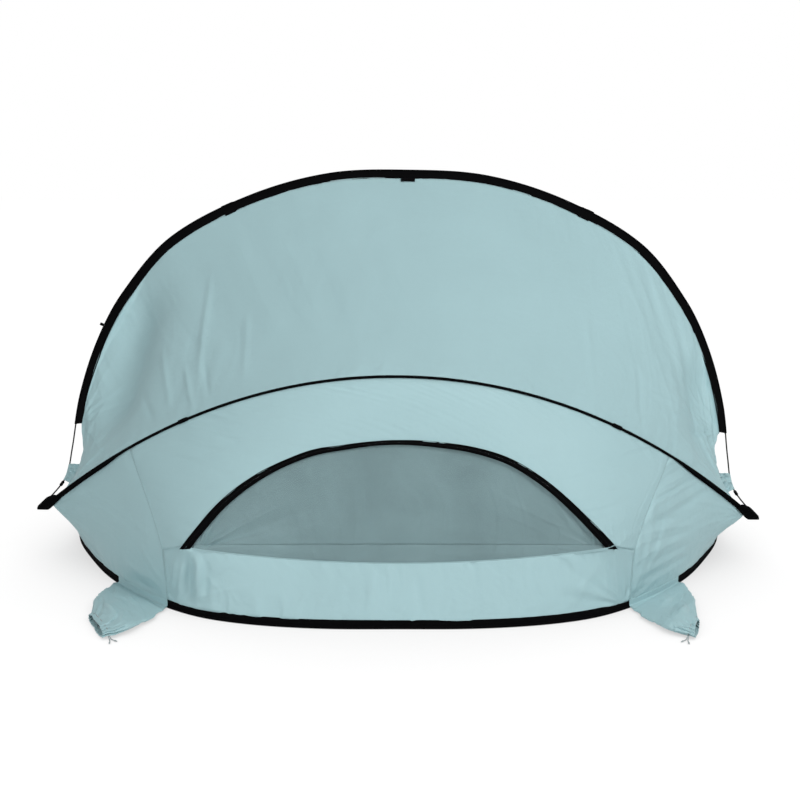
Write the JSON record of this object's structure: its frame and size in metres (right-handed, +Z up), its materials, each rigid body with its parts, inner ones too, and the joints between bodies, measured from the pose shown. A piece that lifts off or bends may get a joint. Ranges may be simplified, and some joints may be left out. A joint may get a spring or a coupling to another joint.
{
  "type": "beach sun shelter",
  "caption": "Pop-up beach shelter: sprung hoops hold a taut canopy over a floor, with a netted window and sand pockets.",
  "frame": {"origin": "on the ground, under the middle of the line through the two side tips that the upper hoops fold about", "axes": "+Z up, +Y out of the open mouth, -Y towards the window side, +X to the right as seen from behind"},
  "size_m": [2.4818, 1.4774, 1.2849],
  "materials": {
    "aqua_cloth": "woven, matt with a light sheen",
    "floor_cloth": "woven, coated, matt",
    "black_webbing": "woven tape, matt",
    "black_rod": "smooth",
    "steel": "plain",
    "net": "fine dark net",
    "black_plastic": "moulded",
    "grey_cord": "braided"
  },
  "bodies": {
    "ground": {"ground_hoop_rod": "black_rod", "ground_hoop_ferrule": "steel", "ground_binding_rear": "black_webbing", "ground_binding_left": "black_webbing", "ground_binding_right": "black_webbing", "pocket_sleeve_left": "aqua_cloth", "pocket_sleeve_right": "aqua_cloth", "pocket_throat_left": "aqua_cloth", "pocket_throat_right": "aqua_cloth", "floor_sheet": "floor_cloth", "rear_skirt": "aqua_cloth", "rear_wall_panel": "aqua_cloth", "side_panel_left": "aqua_cloth", "side_panel_right": "aqua_cloth", "window_mesh": "net", "window_zip_tape": "black_webbing", "window_flap_foot": "aqua_cloth", "tie_tape_left": "aqua_cloth", "tie_tape_right": "aqua_cloth"},
    "rear_arch": {"rear_arch_rod": "black_rod", "rear_binding_left": "black_webbing", "rear_binding_centre": "black_webbing", "rear_binding_right": "black_webbing", "tip_pocket_left": "black_webbing", "tip_pocket_right": "black_webbing", "roof_panel": "aqua_cloth"},
    "front_arch": {"front_arch_rod": "black_rod", "front_binding_left": "black_webbing", "front_binding_centre": "black_webbing", "front_binding_right": "black_webbing", "cuff_left": "aqua_cloth", "cuff_right": "aqua_cloth", "cord_lock_left": "black_plastic", "cord_lock_right": "black_plastic", "hanging_tab": "black_webbing", "side_tab_left": "black_webbing", "join_tab_right": "black_webbing"},
    "flap": {"window_flap": "aqua_cloth"},
    "slider": {"zip_slider": "black_plastic", "zip_pull": "black_plastic"},
    "pocket_left": {"sand_pocket_left": "aqua_cloth", "drawcord_left": "grey_cord"},
    "pocket_right": {"sand_pocket_right": "aqua_cloth", "drawcord_right": "grey_cord"}
  },
  "joints": [
    {"name": "rear_arch_fold", "type": "hinge", "parent": "ground", "child": "rear_arch", "pos_m": [0, 0, 0.17], "axis": [0.9999, 0, -0.0148], "range_deg": [0, 62], "stiffness_Nm_per_rad": 6, "springref_deg": -34.38, "deforming": ["rear_wall_panel", "rear_skirt", "side_panel_left", "side_panel_right", "window_mesh", "window_zip_tape", "window_flap_foot", "tie_tape_left", "tie_tape_right", "window_flap"]},
    {"name": "front_arch_fold", "type": "hinge", "parent": "rear_arch", "child": "front_arch", "pos_m": [0, 0, 0.17], "axis": [0.9999, 0, -0.0148], "range_deg": [0, 56], "stiffness_Nm_per_rad": 4, "springref_deg": -28.65, "deforming": ["roof_panel"]},
    {"name": "window_flap_drop", "type": "hinge", "parent": "ground", "child": "flap", "pos_m": [0, -0.50909, 0.23229], "axis": [-1, 0, 0], "range_deg": [0, 105]},
    {"name": "zip_slider_travel", "type": "hinge", "parent": "ground", "child": "slider", "pos_m": [0, -0.6017, -0.251], "axis": [0, -0.9854, 0.1702], "range_deg": [0, 103]},
    {"name": "sand_pocket_left_lift", "type": "hinge", "parent": "ground", "child": "pocket_left", "pos_m": [-0.8465, -0.371, 0.008], "axis": [-0.6313, 0.7755, 0], "range_deg": [0, 60]},
    {"name": "sand_pocket_right_lift", "type": "hinge", "parent": "ground", "child": "pocket_right", "pos_m": [0.8465, -0.371, 0.008], "axis": [-0.6313, -0.7755, 0], "range_deg": [0, 60]}
  ]
}
